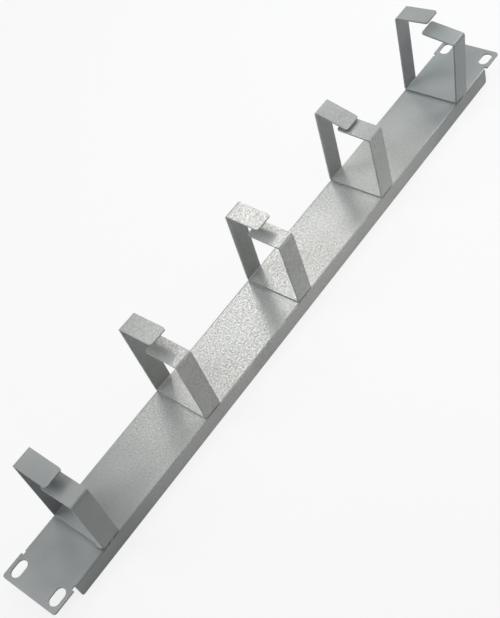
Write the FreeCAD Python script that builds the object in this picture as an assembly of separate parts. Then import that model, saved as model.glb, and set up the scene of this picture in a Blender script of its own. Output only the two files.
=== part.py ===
import FreeCAD, Part
import math
import os

# Horizontal cable manager for a 19-inch rack, one rack unit high, in painted sheet steel.
# A folded panel screws to the rack's front posts. Five open rings, each one folded strip,
# stand in a row on its face and hold the patch cables. Each ring's base lies flat on the
# panel, where it is spot-welded. Nothing moves.
#
# Millimetres. The part lies on the edges of its two flanges, with the origin on that plane
# under the middle of the panel. +X runs along the panel, +Y towards the rings' tall side,
# and +Z out of the panel's face.

Vector = FreeCAD.Vector
X_AXIS = Vector(1, 0, 0)
Z_AXIS = Vector(0, 0, 1)

# Panel: the ears are flat, and the channel between them has a flange folded back along
# each long edge.
panel_length = 482.6          # over both ears, the 19-inch panel width
ear_height = 43.6             # one rack unit, less the gap to the next panel
ear_length = 16.3             # from the panel's end to the bend relief
ear_corner_radius = 2.0
ear_step = 0.5                # how far an ear stands out past the channel's side
relief_width = 2.2            # gap between an ear and the end of a flange
panel_sheet = 1.2
panel_bend_radius = 0.8       # inside of the fold
flange_depth = 12.0           # from the panel's face to a flange's free edge
flange_corner_radius = 2.5

# Four screw slots, which leave 465.1 x 31.75 between their centres.
slot_length = 11.5            # end to end, along the panel
slot_width = 7.0
slot_from_end = 8.75          # slot's centre to the panel's end
slot_from_edge = 5.925        # slot's centre to the ear's long edge

# Rings: a low upright on the near side and a tall one on the far side, each with a tab
# folded inwards. The tabs pass one over the other and leave the mouth between them.
ring_from_end = 50.3          # middle of the end rings to the panel's ends
ring_width = 13.2             # width of the strip, along the panel
ring_sheet = 1.2
ring_bend_radius = 0.8        # inside of the folds
ring_setback = 0.2            # from the channel's side to the ring's, on both sides
near_height = 53.0            # from the panel's face to the top of the near tab
mouth_height = 9.8            # clear height between the two tabs
tab_overlap = 8.0             # how far the tabs pass each other
tab_corner_radius = 2.3

# The rings are folded by hand, so each is a little off square. In degrees: the uprights'
# lean away from the ring's middle, the lift of each tab's free end, and the ring's twist on
# the panel. Ring 1 is at the -X end.
ring_bends = [
    {"near_lean": 2.5, "far_lean": -3.5, "near_lift": 0.5, "far_lift": -6.5, "twist": 0.0},
    {"near_lean": -3.5, "far_lean": 2.0, "near_lift": -1.5, "far_lift": 3.5, "twist": -1.0},
    {"near_lean": -0.5, "far_lean": -2.5, "near_lift": 1.0, "far_lift": -2.0, "twist": 0.0},
    {"near_lean": 0.5, "far_lean": -2.0, "near_lift": 2.5, "far_lift": -17.5, "twist": 0.5},
    {"near_lean": 4.5, "far_lean": -2.0, "near_lift": 8.5, "far_lift": 5.0, "twist": 0.5},
]

# Sizes that follow from the ones above.
channel_width = ear_height - 2 * ear_step
channel_length = panel_length - 2 * (ear_length + relief_width)
web_flat_width = channel_width - 2 * (panel_bend_radius + panel_sheet)
ring_depth = channel_width - 2 * ring_setback
far_height = near_height + ring_sheet + mouth_height
tab_length = (ring_depth + tab_overlap) / 2
ring_pitch = (panel_length - 2 * ring_from_end) / (len(ring_bends) - 1)


def direction(degrees):
    """Unit vector in the YZ plane, turned from +Y towards +Z."""
    angle = math.radians(degrees)
    return Vector(0, math.cos(angle), math.sin(angle))


def bent_path(corners, radius):
    """Wire through the corners, with every corner but the two ends turned by an arc."""
    edges = []
    start = corners[0]
    for before, corner, after in zip(corners, corners[1:], corners[2:]):
        arriving = (corner - before).normalize()
        leaving = (after - corner).normalize()
        half_turn = arriving.getAngle(leaving) / 2
        setback = radius * math.tan(half_turn)
        to_centre = (leaving - arriving).normalize()
        centre = corner + to_centre * (radius / math.cos(half_turn))
        arc_start = corner - arriving * setback
        arc_end = corner + leaving * setback
        edges.append(Part.LineSegment(start, arc_start).toShape())
        edges.append(Part.Arc(arc_start, centre - to_centre * radius, arc_end).toShape())
        start = arc_end
    edges.append(Part.LineSegment(start, corners[-1]).toShape())
    return Part.Wire(edges)


def inner_corners(corners, thickness):
    """The corners moved to the sheet's other side, which lies inside all of its folds."""
    inwards = []
    for start, end in zip(corners, corners[1:]):
        along = (end - start).normalize()
        inwards.append(along.cross(X_AXIS))
    moved = [corners[0] + inwards[0] * thickness]
    for corner, first, second in zip(corners[1:], inwards, inwards[1:]):
        moved.append(corner + (first + second) * (thickness / (1 + first.dot(second))))
    moved.append(corners[-1] + inwards[-1] * thickness)
    return moved


def folded_strip(corners, thickness, inside_radius, width):
    """Solid strip of sheet, width along X, folded in the YZ plane along its outer corners."""
    inner = inner_corners(corners, thickness)
    outer_path = bent_path(corners, inside_radius + thickness)
    inner_path = bent_path(inner, inside_radius)
    free_ends = [
        Part.LineSegment(corners[0], inner[0]).toShape(),
        Part.LineSegment(corners[-1], inner[-1]).toShape(),
    ]
    outline = Part.Wire(Part.__sortEdges__(outer_path.Edges + inner_path.Edges + free_ends))
    strip = Part.Face(outline).extrude(X_AXIS * width)
    strip.translate(X_AXIS * (-width / 2))
    return strip


def round_corners(shape, middles, radius):
    """Fillet the straight edges whose middles lie at the given points."""
    chosen = []
    for edge in shape.Edges:
        if any(edge.CenterOfMass.distanceToPoint(middle) < 0.01 for middle in middles):
            chosen.append(edge)
    return shape.makeFillet(radius, chosen)


def flat_plate(length, width):
    """Plate of panel sheet at the panel's face, centred on the origin in X and Y."""
    corner = Vector(-length / 2, -width / 2, flange_depth - panel_sheet)
    return Part.makeBox(length, width, panel_sheet, corner)


def slot_cutter(centre):
    """Round-ended slot along X, tall enough to pass through the panel's sheet."""
    radius = slot_width / 2
    reach = Vector(slot_length / 2 - radius, 0, 0)
    side = Vector(0, radius, 0)
    tip = Vector(slot_length / 2, 0, 0)
    outline = Part.Wire([
        Part.LineSegment(centre - reach + side, centre + reach + side).toShape(),
        Part.Arc(centre + reach + side, centre + tip, centre + reach - side).toShape(),
        Part.LineSegment(centre + reach - side, centre - reach - side).toShape(),
        Part.Arc(centre - reach - side, centre - tip, centre - reach + side).toShape(),
    ])
    return Part.Face(outline).extrude(Z_AXIS * (3 * panel_sheet))


def make_panel():
    """One sheet: a channel with a flange each side, a flat ear at each end, and its slots."""
    side = channel_width / 2
    fold_line = [
        Vector(0, -side, 0),
        Vector(0, -side, flange_depth),
        Vector(0, side, flange_depth),
        Vector(0, side, 0),
    ]
    channel = folded_strip(fold_line, panel_sheet, panel_bend_radius, channel_length)
    flange_middle = side - panel_sheet / 2
    flange_ends = [
        Vector(end * channel_length / 2, edge * flange_middle, 0)
        for end in (-1, 1) for edge in (-1, 1)
    ]
    channel = round_corners(channel, flange_ends, flange_corner_radius)

    # The ears' blank reaches right through the channel's web, and the reliefs beside its
    # neck are as deep as the line where the folds begin.
    ears = flat_plate(panel_length, ear_height)
    ears = ears.cut(flat_plate(panel_length - 2 * ear_length, ear_height))
    neck = flat_plate(panel_length - ear_length, web_flat_width)
    ear_corners = [
        Vector(end * panel_length / 2, edge * ear_height / 2, flange_depth - panel_sheet / 2)
        for end in (-1, 1) for edge in (-1, 1)
    ]
    panel = channel.fuse([neck, ears]).removeSplitter()
    panel = round_corners(panel, ear_corners, ear_corner_radius)

    slot_x = panel_length / 2 - slot_from_end
    slot_y = ear_height / 2 - slot_from_edge
    below_sheet = flange_depth - 2 * panel_sheet
    for end in (-1, 1):
        for edge in (-1, 1):
            panel = panel.cut(slot_cutter(Vector(end * slot_x, edge * slot_y, below_sheet)))
    return panel


def make_ring(bends):
    """One folded strip, base on the XY plane: tab, near upright, base, far upright, tab."""
    near_foot = Vector(0, -ring_depth / 2, 0)
    far_foot = Vector(0, ring_depth / 2, 0)
    near_top = near_foot + direction(90 + bends["near_lean"]) * near_height
    far_top = far_foot + direction(90 - bends["far_lean"]) * far_height
    near_end = near_top + direction(bends["near_lift"]) * tab_length
    far_end = far_top + direction(180 - bends["far_lift"]) * tab_length
    corners = [far_end, far_top, far_foot, near_foot, near_top, near_end]
    strip = folded_strip(corners, ring_sheet, ring_bend_radius, ring_width)

    inner = inner_corners(corners, ring_sheet)
    tab_ends = [(corners[0] + inner[0]) / 2, (corners[-1] + inner[-1]) / 2]
    tab_corners = [
        end + X_AXIS * (side * ring_width / 2)
        for end in tab_ends for side in (-1, 1)
    ]
    strip = round_corners(strip, tab_corners, tab_corner_radius)
    strip.rotate(Vector(0, 0, 0), Z_AXIS, bends["twist"])
    return strip


def main():
    os.makedirs("parts", exist_ok=True)
    make_panel().exportStep("parts/panel.step")
    for index, bends in enumerate(ring_bends):
        ring_x = ring_from_end - panel_length / 2 + ring_pitch * index
        ring = make_ring(bends)
        ring.translate(Vector(ring_x, 0, flange_depth))
        ring.exportStep("parts/ring_%d.step" % (index + 1))


main()
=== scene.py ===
from math import cos, pi, radians, sin
import bmesh
import bpy
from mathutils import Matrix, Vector, noise


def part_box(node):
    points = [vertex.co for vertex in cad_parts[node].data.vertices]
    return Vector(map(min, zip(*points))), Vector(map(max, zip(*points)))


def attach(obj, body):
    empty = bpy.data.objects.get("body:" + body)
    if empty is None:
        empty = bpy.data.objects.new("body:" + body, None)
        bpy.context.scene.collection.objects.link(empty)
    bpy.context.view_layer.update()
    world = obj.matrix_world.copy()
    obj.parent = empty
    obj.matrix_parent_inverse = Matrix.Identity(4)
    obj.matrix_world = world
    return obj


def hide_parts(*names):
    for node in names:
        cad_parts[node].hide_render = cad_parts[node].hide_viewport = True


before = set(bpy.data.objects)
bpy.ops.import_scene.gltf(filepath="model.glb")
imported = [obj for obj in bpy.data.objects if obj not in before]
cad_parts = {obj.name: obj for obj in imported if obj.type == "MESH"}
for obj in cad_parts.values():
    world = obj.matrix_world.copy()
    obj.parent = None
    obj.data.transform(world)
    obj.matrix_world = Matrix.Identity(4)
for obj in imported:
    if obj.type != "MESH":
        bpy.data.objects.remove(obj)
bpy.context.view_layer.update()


# ---- Camera ---------------------------------------------------------------------------------
# The manager lies on its back with the rings up. It is seen from the front left, a little over
# half a metre above the bench, so its long side runs up the picture from left to right.
camera_place = (-0.2683, -0.3425, 0.5176)
camera_turn = (37.770, 14.373, -52.769)  # degrees about X, Y and Z
camera_lens = 60.95  # mm
camera_frame_width = 36.0  # mm
camera_nearest = 0.02  # nothing nearer than this is drawn

camera = bpy.data.objects.new("camera", bpy.data.cameras.new("camera"))
camera.location = camera_place
camera.rotation_euler = [radians(angle) for angle in camera_turn]
camera.data.lens = camera_lens
camera.data.sensor_width = camera_frame_width
camera.data.clip_start = camera_nearest
bpy.context.collection.objects.link(camera)
bpy.context.scene.camera = camera


# ---- Back panel -----------------------------------------------------------------------------
# The panel is one blank of steel sheet. Its four screw slots and four corner notches are punched,
# then both long edges are folded down, which leaves a flat ear at each end for the rack's posts.
# All of it is painted.
panel_high = Vector(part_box("panel")[1])
panel_sheet = 0.0012
panel_outer_bend = 0.0014
ear_length = 0.0163
ear_step = 0.0005
ear_corner_radius = 0.0020
notch_width = 0.0022
flange_corner_radius = 0.0018
slot_length = 0.0115
slot_width = 0.0070
slot_from_end = 0.00875
slot_from_edge = 0.005925
painted_edge_radius = 0.00022
painted_edge_steps = 3
sharp_edge = 40  # degrees; a turn sharper than this is an edge and not part of a fold
bend_steps = 8
corner_steps = 6
slot_end_steps = 12

face_height = panel_high.z
half_length = panel_high.x
half_ear = panel_high.y
ear_inner_end = half_length - ear_length
flange_end = ear_inner_end - notch_width
fold_line = half_ear - ear_step - panel_outer_bend


def arc(centre, radius, start, end, steps):
    """Points of an arc in a plane, with its angles in degrees."""
    angles = [radians(start + (end - start) * i / steps) for i in range(steps + 1)]
    return [(centre[0] + radius * cos(a), centre[1] + radius * sin(a)) for a in angles]


def join_loop(mesh, points):
    """A closed line through the points, as new vertices and edges."""
    corners = [mesh.verts.new(point) for point in points]
    return [mesh.edges.new((a, b)) for a, b in zip(corners, corners[1:] + corners[:1])]


# The right half of the flat face's outline, from its near side to its far side; the left half
# is the same points turned about the middle.
ear_corner = (half_length - ear_corner_radius, half_ear - ear_corner_radius)
right_half = [(flange_end, -fold_line), (ear_inner_end, -fold_line), (ear_inner_end, -half_ear)]
right_half += arc((ear_corner[0], -ear_corner[1]), ear_corner_radius, -90, 0, corner_steps)
right_half += arc(ear_corner, ear_corner_radius, 0, 90, corner_steps)
right_half += [(ear_inner_end, half_ear), (ear_inner_end, fold_line), (flange_end, fold_line)]
face_outline = right_half + [(-x, -y) for x, y in right_half]

slot_middle = (half_length - slot_from_end, half_ear - slot_from_edge)
slot_radius = slot_width / 2
slot_reach = (slot_length - slot_width) / 2
slot_outline = arc((slot_reach, 0), slot_radius, -90, 90, slot_end_steps)
slot_outline += arc((-slot_reach, 0), slot_radius, 90, 270, slot_end_steps)

blank = bmesh.new()
edges = join_loop(blank, [(x, y, face_height) for x, y in face_outline])
for side_x in (-1, 1):
    for side_y in (-1, 1):
        middle_x = side_x * slot_middle[0]
        middle_y = side_y * slot_middle[1]
        slot_points = [(middle_x + x, middle_y + y, face_height) for x, y in slot_outline]
        edges += join_loop(blank, slot_points)
bmesh.ops.triangle_fill(blank, edges=edges, use_beauty=True, normal=(0, 0, 1))
blank.verts.ensure_lookup_table()


def corner_at(x, y):
    """The vertex of the flat face that lies nearest to x, y."""
    return min(blank.verts, key=lambda v: (v.co - Vector((x, y, face_height))).length)


for side in (-1, 1):
    # the fold, then the flange below it with its two lower corners rounded
    row = [corner_at(-flange_end, side * fold_line), corner_at(flange_end, side * fold_line)]
    fold_middle = (fold_line, face_height - panel_outer_bend)
    for y, z in arc(fold_middle, panel_outer_bend, 90, 0, bend_steps)[1:]:
        next_row = [blank.verts.new((x, side * y, z)) for x in (-flange_end, flange_end)]
        blank.faces.new((row[0], row[1], next_row[1], next_row[0]))
        row = next_row
    flange_face = side * (fold_line + panel_outer_bend)
    foot_corner = (flange_end - flange_corner_radius, flange_corner_radius)
    foot = arc(foot_corner, flange_corner_radius, 0, -90, corner_steps)
    foot += [(-x, z) for x, z in reversed(foot)]
    lower = [blank.verts.new((x, flange_face, z)) for x, z in foot]
    blank.faces.new([row[0], row[1]] + lower)
bmesh.ops.recalc_face_normals(blank, faces=blank.faces)
if max(blank.faces, key=lambda face: face.calc_area()).normal.z < 0:
    bmesh.ops.reverse_faces(blank, faces=blank.faces)


def make_wall(piece, sheet, edge_radius):
    """Gives a folded skin its sheet's thickness, inwards, and rounds the edges as paint does."""
    wall = piece.modifiers.new("sheet", "SOLIDIFY")
    wall.thickness = sheet
    wall.offset = -1.0
    wall.use_even_offset = True
    paint = piece.modifiers.new("painted edges", "BEVEL")
    paint.width = edge_radius
    paint.segments = painted_edge_steps
    paint.limit_method = "ANGLE"
    paint.angle_limit = radians(sharp_edge)
    shading = piece.modifiers.new("flat faces", "WEIGHTED_NORMAL")
    shading.keep_sharp = True


def finished(rough, name):
    """The rough piece with its modifiers made into a plain mesh, as a new object."""
    view = bpy.context.evaluated_depsgraph_get()
    mesh = bpy.data.meshes.new_from_object(rough.evaluated_get(view), depsgraph=view)
    mesh.name = name
    piece = bpy.data.objects.new(name, mesh)
    bpy.context.collection.objects.link(piece)
    bpy.data.objects.remove(rough)
    return piece


rough_panel = bpy.data.objects.new("rough_panel", bpy.data.meshes.new("rough_panel"))
blank.to_mesh(rough_panel.data)
blank.free()
bpy.context.collection.objects.link(rough_panel)
rough_panel.data.shade_smooth()
make_wall(rough_panel, panel_sheet, painted_edge_radius)
panel = finished(rough_panel, "painted_panel")

# The finish is a silver hammer paint: aluminium flake in a semi-gloss coat, which dries with the
# flake gathered in spots about a millimetre wide. Towards both ends the flake fades, so the paint
# is plainer there, and its tone is painted darker as painted shade, for the light that falls off.
paint_light = (0.450, 0.446, 0.434, 1)
paint_dark = (0.200, 0.209, 0.213, 1)
cloud_size = 0.020
cloud_detail = 2.0
cloud_contrast = 0.6
fleck_size = 0.0008
fleck_detail = 1.0
fleck_contrast = 1.0
fleck_relief = 0.00010
noise_per_size = 0.6  # a noise's scale, times the size of its spots in metres
noise_middle = 0.5
coat_roughness = (0.28, 0.33)
flake_share = 0.20  # of the surface, where the flake is evenly spread
flake_contrast = 1.25
end_fades = ((-0.120, -0.192), (0.120, 0.200))  # where each end's fade of flake and painted shade starts and is full
most_faded = 0.15
# painted shade: how far the tone darkens at both ends, for the light that falls off there
painted_end_shade = 0.45


def hammer_paint(name):
    material = bpy.data.materials.new(name)
    material.use_nodes = True
    nodes, links = material.node_tree.nodes, material.node_tree.links
    shader = nodes["Principled BSDF"]

    def node(kind, inputs=(), **settings):
        """A node of the paint. Inputs are values or other nodes' outputs, by socket name."""
        made = nodes.new(kind)
        for key, value in settings.items():
            setattr(made, key, value)
        for socket, value in dict(inputs).items():
            if isinstance(value, bpy.types.NodeSocket):
                links.new(value, made.inputs[socket])
            else:
                made.inputs[socket].default_value = value
        return made

    place = node("ShaderNodeTexCoord").outputs["Object"]

    # 1 in the middle, less towards both ends: there the flake fades and the tone takes painted shade
    along_panel = node("ShaderNodeSeparateXYZ", {"Vector": place}).outputs["X"]
    end_fade_parts = []
    for start, end in end_fades:
        fade_range = {"Value": along_panel, "From Min": start, "From Max": end}
        fade_range.update({"To Min": 1.0, "To Max": most_faded})
        faded = node("ShaderNodeMapRange", fade_range, interpolation_type="SMOOTHSTEP")
        end_fade_parts.append(faded.outputs["Result"])
    flake_and_light_share = node("ShaderNodeMath", {0: end_fade_parts[0], 1: end_fade_parts[1]}, operation="MULTIPLY").outputs[0]

    def spots(size, detail):
        """A noise whose spots have about this size in metres."""
        pattern = {"Vector": place, "Scale": noise_per_size / size, "Detail": detail}
        return node("ShaderNodeTexNoise", pattern).outputs["Fac"]

    def scaled(value, factor, added):
        """The value times a factor, with a number or another value added."""
        terms = {0: value, 1: factor, 2: added}
        return node("ShaderNodeMath", terms, operation="MULTIPLY_ADD").outputs[0]

    # the flecks, about zero, which fade towards both ends
    flecks = spots(fleck_size, fleck_detail)
    even = node("ShaderNodeMath", {0: flecks, 1: noise_middle}, operation="SUBTRACT").outputs[0]
    fleck = node("ShaderNodeMath", {0: even, 1: flake_and_light_share}, operation="MULTIPLY").outputs[0]

    # tone and gloss change slowly along the sheet, and tone with each fleck too
    clouds = spots(cloud_size, cloud_detail)
    middle_tone = noise_middle - cloud_contrast / 2 - painted_end_shade
    cloud = scaled(clouds, cloud_contrast, middle_tone)
    # painted shade: the tone is darker towards both ends, standing in for the light that falls off
    # there
    cloud_and_painted_shade = scaled(flake_and_light_share, painted_end_shade, cloud)
    share = scaled(fleck, fleck_contrast, cloud_and_painted_shade)
    colours = {"Factor": share, "A": paint_dark, "B": paint_light}
    tone = node("ShaderNodeMix", colours, data_type="RGBA")
    links.new(tone.outputs["Result"], shader.inputs["Base Color"])
    smoothest, roughest = coat_roughness
    gloss = node("ShaderNodeMapRange", {"Value": clouds, "To Min": smoothest, "To Max": roughest})
    links.new(gloss.outputs["Result"], shader.inputs["Roughness"])

    # the flake shows as metal where it is gathered, and each spot is raised a little
    gathered = scaled(even, flake_contrast, flake_share)
    flake = node("ShaderNodeMath", {0: gathered, 1: flake_and_light_share}, operation="MULTIPLY")
    flake.use_clamp = True
    links.new(flake.outputs[0], shader.inputs["Metallic"])
    relief = node("ShaderNodeBump", {"Strength": 1.0, "Distance": fleck_relief, "Height": fleck})
    links.new(relief.outputs["Normal"], shader.inputs["Normal"])
    return material


paint = hammer_paint("silver_hammer_paint")
panel.data.materials.clear()
panel.data.materials.append(paint)
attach(panel, "root")
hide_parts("panel")


# ---- Cable rings ----------------------------------------------------------------------------
# Five rings hold the cables, each one strip of the same sheet folded round to a box that is open
# at one corner: a low side whose tab turns in, and a tall side whose tab passes over it. They
# are bent by hand, so no two stand alike.
ring_width = 0.0132
ring_sheet = 0.0012
ring_outer_bend = 0.0020
ring_depth = 0.0422
near_height = 0.0530
far_height = 0.0640
tab_length = 0.0251
long_tab_length = 0.0269  # the tall side's tab on ring 2
tab_corner_radius = 0.0017
# In degrees: each side's lean, each tab's lift, and the turn on the panel. The second ring's tall
# side has the longer tab.
ring_bends = [
    {"Near lean": 2.5, "Far lean": -3.5, "Near lift": 0.5, "Far lift": -6.5, "Twist": 0.0},
    {"Near lean": -3.5, "Far lean": 2.0, "Near lift": -1.5, "Far lift": 3.5, "Twist": -1.0},
    {"Near lean": -0.5, "Far lean": -2.5, "Near lift": 1.0, "Far lift": -2.0, "Twist": 0.0},
    {"Near lean": 0.5, "Far lean": -2.0, "Near lift": 2.5, "Far lift": -17.5, "Twist": 0.5},
    {"Near lean": 4.5, "Far lean": -2.0, "Near lift": 8.5, "Far lift": 5.0, "Twist": 0.5},
]
ring_bends[1]["Far tab"] = long_tab_length
cap_points = 7  # along a tab's rounded end
fold_order = 100  # where the folds come in the strip's order, after the low side's tab
far_tab_order = 200  # where the tall side's tab comes

ring_tree = bpy.data.node_groups.new("folded_ring", "GeometryNodeTree")
ring_tree.is_modifier = True
ring_sizes = ["Width", "Depth", "Near height", "Far height"]
ring_sizes += ["Near tab", "Far tab", "Tab corner", "Bend radius"]
ring_angles = ["Near lean", "Far lean", "Near lift", "Far lift", "Twist"]
ring_inputs = [(label, "NodeSocketFloat") for label in ring_sizes + ring_angles]
ring_inputs += [("Place", "NodeSocketVector"), ("Paint", "NodeSocketMaterial")]
ring_sockets = {}
for label, kind in ring_inputs:
    socket = ring_tree.interface.new_socket(label, in_out="INPUT", socket_type=kind)
    ring_sockets[label] = socket.identifier
ring_tree.interface.new_socket("Ring", in_out="OUTPUT", socket_type="NodeSocketGeometry")
given = ring_tree.nodes.new("NodeGroupInput").outputs


def ring_node(kind, inputs=(), **settings):
    """A node of the ring's tree. Inputs are values or other nodes' outputs, in socket order."""
    made = ring_tree.nodes.new(kind)
    for key, value in settings.items():
        setattr(made, key, value)
    for position, value in enumerate(inputs):
        if isinstance(value, bpy.types.NodeSocket):
            ring_tree.links.new(value, made.inputs[position])
        else:
            made.inputs[position].default_value = value
    return made


def reckon(operation, a, b=0.0):
    return ring_node("ShaderNodeMath", (a, b), operation=operation).outputs[0]


def vector(x, y, z):
    return ring_node("ShaderNodeCombineXYZ", (x, y, z)).outputs[0]


def along(start, direction, length):
    """The point that lies a length from start in a direction."""
    step = ring_node("ShaderNodeVectorMath", (direction,), operation="SCALE")
    ring_tree.links.new(length, step.inputs["Scale"])
    return ring_node("ShaderNodeVectorMath", (start, step.outputs[0]), operation="ADD").outputs[0]


def leaned(direction, degrees, sense):
    """A direction turned about the strip's width, by an angle in degrees."""
    angle = reckon("MULTIPLY", degrees, radians(sense))
    turn = ring_node("ShaderNodeVectorRotate", rotation_type="X_AXIS")
    turn.inputs["Vector"].default_value = direction
    ring_tree.links.new(angle, turn.inputs["Angle"])
    return turn.outputs[0]


half_depth = reckon("MULTIPLY", given["Depth"], 0.5)
near_foot = vector(0.0, reckon("MULTIPLY", half_depth, -1.0), 0.0)
far_foot = vector(0.0, half_depth, 0.0)
near_side = leaned((0, 0, 1), given["Near lean"], 1)
far_side = leaned((0, 0, 1), given["Far lean"], -1)
near_top = along(near_foot, near_side, given["Near height"])
far_top = along(far_foot, far_side, given["Far height"])
near_tab = leaned((0, 1, 0), given["Near lift"], 1)
far_tab = leaned((0, -1, 0), given["Far lift"], -1)

# The rounded end of a tab: points from the end inwards, each with the strip's width there.
index = ring_node("GeometryNodeInputIndex").outputs[0]
sweep = reckon("MULTIPLY", index, pi / 2 / (cap_points - 1))
inwards = reckon("SUBTRACT", 1.0, reckon("COSINE", sweep))
sideways = reckon("SUBTRACT", 1.0, reckon("SINE", sweep))
from_end = reckon("MULTIPLY", given["Tab corner"], inwards)
narrowed = reckon("MULTIPLY", given["Tab corner"], sideways)
cut_off = reckon("DIVIDE", reckon("MULTIPLY", narrowed, 2.0), given["Width"])
share = reckon("SUBTRACT", 1.0, cut_off)


def tab_end(top, direction, length):
    """Points of a tab's end, from the tip inwards."""
    reach = reckon("SUBTRACT", length, from_end)
    made = ring_node("GeometryNodePoints", (cap_points,))
    ring_tree.links.new(along(top, direction, reach), made.inputs["Position"])
    return made.outputs[0]


def with_value(points, name, value):
    made = ring_node("GeometryNodeStoreNamedAttribute", (points,), data_type="FLOAT", domain="POINT")
    made.inputs["Name"].default_value = name
    if isinstance(value, bpy.types.NodeSocket):
        ring_tree.links.new(value, made.inputs["Value"])
    else:
        made.inputs["Value"].default_value = value
    return made.outputs[0]


def numbered(points, first, step):
    """Points with their place in the strip's order."""
    place = reckon("ADD", reckon("MULTIPLY", index, float(step)), float(first))
    return with_value(points, "order", place)


# The four folds: the switch has two items at first, and needs one for each.
fold_corners = (near_top, near_foot, far_foot, far_top)
folds = ring_node("GeometryNodeIndexSwitch", data_type="VECTOR")
while len(folds.index_switch_items) < len(fold_corners):
    folds.index_switch_items.new()
for position, corner in enumerate(fold_corners):
    ring_tree.links.new(corner, folds.inputs[position + 1])
ring_tree.links.new(index, folds.inputs[0])
fold_points = ring_node("GeometryNodePoints", (len(fold_corners),))
ring_tree.links.new(folds.outputs[0], fold_points.inputs["Position"])


def ready(points, width_share, bend_radius, first, step):
    """Points with the strip's width there, the radius of the fold, and their order."""
    points = with_value(points, "share", width_share)
    points = with_value(points, "bend", bend_radius)
    return numbered(points, first, step)


near_end = tab_end(near_top, near_tab, given["Near tab"])
far_end = tab_end(far_top, far_tab, given["Far tab"])
stations = ring_node("GeometryNodeJoinGeometry")
for part in (
    ready(near_end, share, 0.0, 0, 1),
    ready(fold_points.outputs[0], 1.0, given["Bend radius"], fold_order, 1),
    ready(far_end, share, 0.0, far_tab_order + cap_points, -1),
):
    ring_tree.links.new(part, stations.inputs[0])


def named(name):
    made = ring_node("GeometryNodeInputNamedAttribute", data_type="FLOAT")
    made.inputs["Name"].default_value = name
    return made.outputs["Attribute"]


line = ring_node("GeometryNodePointsToCurves", (stations.outputs[0],))
ring_tree.links.new(named("order"), line.inputs["Weight"])
folded = ring_node("GeometryNodeFilletCurve", (line.outputs[0],))
folded.mode = "POLY"
folded.inputs["Count"].default_value = bend_steps
ring_tree.links.new(named("bend"), folded.inputs["Radius"])
folded.inputs["Limit Radius"].default_value = False
upright = ring_node("GeometryNodeSetCurveNormal", (folded.outputs[0],))
upright.mode = "FREE"
upright.inputs["Normal"].default_value = (1, 0, 0)
half_width = reckon("MULTIPLY", given["Width"], 0.5)
across = ring_node("GeometryNodeCurvePrimitiveLine")
ring_tree.links.new(vector(reckon("MULTIPLY", half_width, -1.0), 0.0, 0.0), across.inputs["Start"])
ring_tree.links.new(vector(half_width, 0.0, 0.0), across.inputs["End"])
strip = ring_node("GeometryNodeCurveToMesh", (upright.outputs[0], across.outputs[0]))
ring_tree.links.new(named("share"), strip.inputs["Scale"])
outward = ring_node("GeometryNodeFlipFaces", (strip.outputs[0],))
placed = ring_node("GeometryNodeTransform", (outward.outputs[0],))
ring_tree.links.new(given["Place"], placed.inputs["Translation"])
turn = reckon("MULTIPLY", given["Twist"], radians(1))
ring_tree.links.new(vector(0.0, 0.0, turn), placed.inputs["Rotation"])
real = ring_node("GeometryNodeRealizeInstances", (placed.outputs[0],))
painted = ring_node("GeometryNodeSetMaterial", (real.outputs[0],))
ring_tree.links.new(given["Paint"], painted.inputs["Material"])
result = ring_tree.nodes.new("NodeGroupOutput")
ring_tree.links.new(painted.outputs[0], result.inputs[0])

for number, bends in enumerate(ring_bends, 1):
    low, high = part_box(f"ring_{number}")
    values = {
        "Width": ring_width,
        "Depth": ring_depth,
        "Near height": near_height,
        "Far height": far_height,
        "Near tab": tab_length,
        "Far tab": tab_length,
        "Tab corner": tab_corner_radius,
        "Bend radius": ring_outer_bend,
        "Place": ((low[0] + high[0]) / 2, 0.0, face_height),
        "Paint": paint,
        **bends,
    }
    rough_ring = bpy.data.objects.new("rough_ring", bpy.data.meshes.new("rough_ring"))
    bpy.context.collection.objects.link(rough_ring)
    fold = rough_ring.modifiers.new("fold", "NODES")
    fold.node_group = ring_tree
    for label, value in values.items():
        fold[ring_sockets[label]] = value
    make_wall(rough_ring, ring_sheet, painted_edge_radius)
    ring = finished(rough_ring, f"folded_ring_{number}")
    ring.data.shade_smooth()
    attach(ring, "root")
    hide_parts(f"ring_{number}")


# ---- Weld tacks -----------------------------------------------------------------------------
# Short tacks of weld hold the rings to the panel. Five show as lumps at the feet of rings 1, 4
# and 5, painted over with the rest. Those out of sight are not made.
weld_tacks = [  # centre and half sizes, mm
    ((-191.4, -20.5, 12.1), (1.9, 1.0, 1.0)),
    ((-195.8, -20.5, 12.1), (1.7, 1.1, 1.0)),
    ((-197.7, -17.4, 12.5), (1.4, 3.4, 0.9)),
    ((88.6, 12.0, 12.3), (0.8, 1.3, 0.7)),
    ((192.7, -20.5, 12.1), (3.0, 1.0, 1.0)),
]
tack_unevenness = 0.22
tack_ripple = 1.6
tack_spacing = 7.0  # between the places where two tacks' unevenness is read
tack_smoothness = 4

for number, (middle, half) in enumerate(weld_tacks, 1):
    lump = bmesh.new()
    bmesh.ops.create_icosphere(lump, subdivisions=tack_smoothness, radius=1.0)
    for corner in lump.verts:
        reading = corner.co * tack_ripple + Vector((tack_spacing * number, 0, 0))
        swell = 1.0 + tack_unevenness * noise.noise(reading)
        corner.co = Vector([(m + h * c * swell) / 1000 for m, h, c in zip(middle, half, corner.co)])
    tack = bpy.data.objects.new(f"weld_tack_{number}", bpy.data.meshes.new(f"weld_tack_{number}"))
    lump.to_mesh(tack.data)
    lump.free()
    bpy.context.collection.objects.link(tack)
    tack.data.shade_smooth()
    tack.data.materials.append(paint)
    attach(tack, "root")


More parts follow.
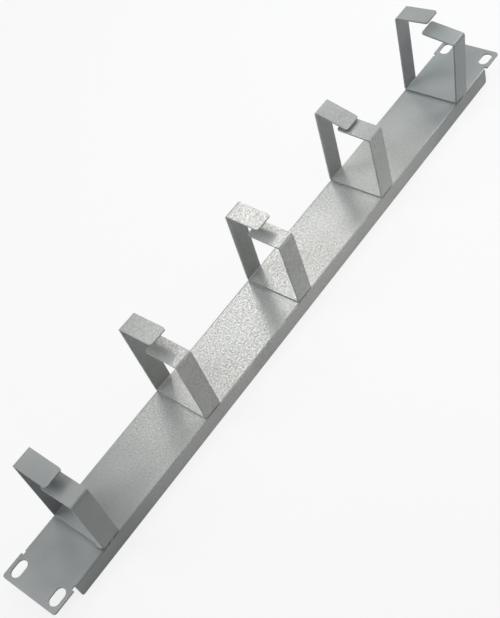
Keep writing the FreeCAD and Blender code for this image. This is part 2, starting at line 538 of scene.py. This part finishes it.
# ---- Bench and light ------------------------------------------------------------------------
# A plain bench, seen as white, in a dim, even room. Three overlapping lamps, high behind the
# object on its right, are the window that the paint mirrors. The lamps above it, in front of it
# and on its left and right light the rest.
bench_size = 40.0
bench_drop = 0.0002  # so that it doesn't touch the flanges' edges
bench_grey = 0.5
bench_white_share = 0.85  # how much of the bench is plain white, as seen directly or mirrored
room_grey = (0.196, 0.204, 0.208, 1)
bench_mesh = bmesh.new()
bmesh.ops.create_grid(bench_mesh, x_segments=1, y_segments=1, size=bench_size / 2)
bench = bpy.data.objects.new("bench", bpy.data.meshes.new("bench"))
bench_mesh.to_mesh(bench.data)
bench_mesh.free()
bench.location.z = -bench_drop
bpy.context.collection.objects.link(bench)

bench_paint = bpy.data.materials.new("white_bench")
bench_paint.use_nodes = True
nodes, links = bench_paint.node_tree.nodes, bench_paint.node_tree.links
nodes.clear()
matt = nodes.new("ShaderNodeBsdfDiffuse")
matt.inputs["Color"].default_value = (bench_grey, bench_grey, bench_grey, 1)
white = nodes.new("ShaderNodeEmission")
rays = nodes.new("ShaderNodeLightPath")
seen = rays.outputs["Is Camera Ray"]
for kind in ("Is Glossy Ray", "Is Transmission Ray"):
    either = nodes.new("ShaderNodeMath")
    either.operation = "MAXIMUM"
    links.new(seen, either.inputs[0])
    links.new(rays.outputs[kind], either.inputs[1])
    seen = either.outputs[0]
part_white = nodes.new("ShaderNodeMath")
part_white.operation = "MULTIPLY"
part_white.inputs[1].default_value = bench_white_share
links.new(seen, part_white.inputs[0])
mixed = nodes.new("ShaderNodeMixShader")
links.new(part_white.outputs[0], mixed.inputs["Fac"])
links.new(matt.outputs[0], mixed.inputs[1])
links.new(white.outputs[0], mixed.inputs[2])
surface = nodes.new("ShaderNodeOutputMaterial")
links.new(mixed.outputs[0], surface.inputs["Surface"])
bench.data.materials.append(bench_paint)

# Each lamp's name, place, width, spread in degrees, power in watts, and colour.
for name, place, width, spread, power, tint in (
    ("window_lamp", (0.85, 1.40, 2.05), 1.00, 180, 5.8, (1.0, 0.985, 0.94)),
    ("window_middle_lamp", (1.00, 1.40, 2.05), 0.35, 180, 3.5, (1.0, 0.985, 0.94)),
    ("window_side_lamp", (1.15, 1.40, 2.05), 0.70, 180, 3.4, (1.0, 0.985, 0.94)),
    ("top_lamp", (0.10, 0.00, 0.60), 0.50, 180, 1.2, (1.0, 0.995, 0.96)),
    ("front_lamp", (0.06, -0.30, 0.12), 0.20, 80, 0.035, (1.0, 0.975, 0.86)),
    ("left_lamp", (-0.60, 0.60, 1.20), 0.80, 180, 9.9, (0.95, 0.99, 0.99)),
    ("right_lamp", (0.90, -0.10, 0.50), 0.50, 180, 8.9, (0.95, 1.0, 1.0)),
):
    lamp = bpy.data.objects.new(name, bpy.data.lights.new(name, "AREA"))
    lamp.data.shape = "DISK"
    lamp.data.size = width
    lamp.data.spread = radians(spread)
    lamp.data.energy = power
    lamp.data.color = tint
    lamp.location = place
    lamp.rotation_euler = (-Vector(place)).to_track_quat("-Z", "Y").to_euler()
    lamp.visible_camera = False
    bpy.context.collection.objects.link(lamp)

room = bpy.data.worlds.new("room")
room.use_nodes = True
room.node_tree.nodes["Background"].inputs["Color"].default_value = room_grey
bpy.context.scene.world = room
bpy.context.scene.view_settings.view_transform = "Standard"
